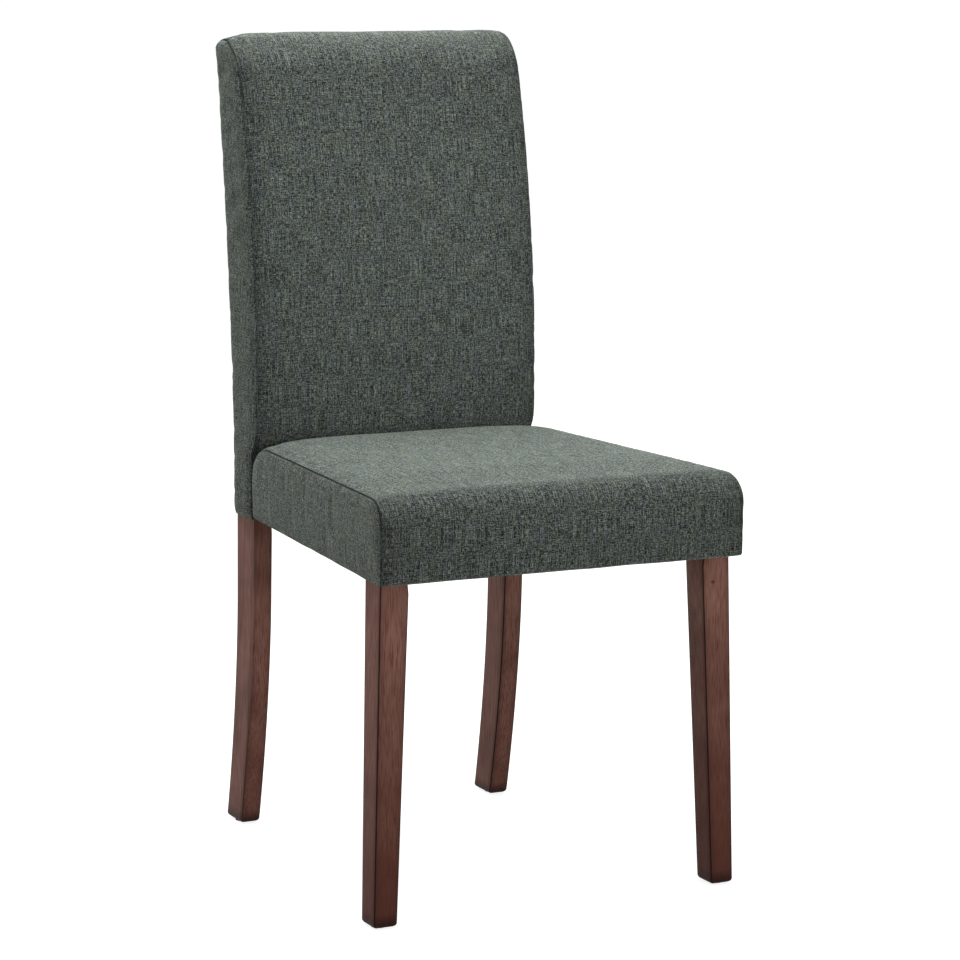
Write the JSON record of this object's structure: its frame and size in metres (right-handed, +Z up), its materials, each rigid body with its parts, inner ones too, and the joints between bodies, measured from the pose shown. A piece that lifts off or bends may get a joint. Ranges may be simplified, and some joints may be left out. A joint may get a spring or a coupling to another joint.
{
  "type": "upholstered dining chair",
  "caption": "Armless dining chair with a boxed padded seat, a tall padded back that leans and curves rearward, tapered front legs and swept rear legs of dark wood.",
  "frame": {"origin": "on the floor, under the centre of the chair's outline seen from above", "axes": "+Z up; the seat's front faces -Y; +X to the right as seen from the front"},
  "size_m": [0.4634, 0.5582, 0.959],
  "materials": {
    "leg_wood": "dark brown stain under satin lacquer",
    "frame_wood": "planed, unfinished",
    "plywood": "sanded, unfinished",
    "fibreboard": "hard-pressed, smooth",
    "foam": "open-cell polyurethane foam",
    "woven_fabric": "linen-look plain weave, dark grey-green melange",
    "dust_cloth": "spun-bonded non-woven",
    "zinc_steel": "zinc-plated",
    "glide_nylon": "moulded nylon"
  },
  "bodies": {
    "root": {"front_leg_left": "leg_wood", "front_leg_right": "leg_wood", "rear_post_left": "leg_wood", "rear_post_right": "leg_wood", "seat_rail_front": "frame_wood", "seat_rail_rear": "frame_wood", "seat_rail_left": "frame_wood", "seat_rail_right": "frame_wood", "corner_block_front_left": "frame_wood", "corner_block_front_right": "frame_wood", "corner_block_rear_left": "frame_wood", "corner_block_rear_right": "frame_wood", "back_crest_rail": "frame_wood", "back_middle_rail": "frame_wood", "back_lower_rail": "frame_wood", "back_base_rail": "frame_wood", "seat_board": "plywood", "back_board": "plywood", "back_rear_panel": "fibreboard", "seat_foam": "foam", "back_foam": "foam", "seat_cover_top": "woven_fabric", "seat_cover_left": "woven_fabric", "seat_cover_right": "woven_fabric", "back_cover_front": "woven_fabric", "back_cover_rear": "woven_fabric", "back_cover_left": "woven_fabric", "back_cover_right": "woven_fabric", "seat_dust_cover": "dust_cloth", "hanger_bolt_left": "zinc_steel", "hanger_bolt_right": "zinc_steel", "hanger_washer_left": "zinc_steel", "hanger_washer_right": "zinc_steel", "hanger_nut_left": "zinc_steel", "hanger_nut_right": "zinc_steel", "seat_bolt_left_lower": "zinc_steel", "seat_bolt_left_upper": "zinc_steel", "seat_bolt_right_lower": "zinc_steel", "seat_bolt_right_upper": "zinc_steel", "tee_nut_left_lower": "zinc_steel", "tee_nut_left_upper": "zinc_steel", "tee_nut_right_lower": "zinc_steel", "tee_nut_right_upper": "zinc_steel", "glide_front_left": "glide_nylon", "glide_front_right": "glide_nylon", "glide_rear_left": "glide_nylon", "glide_rear_right": "glide_nylon"}
  },
  "joints": []
}
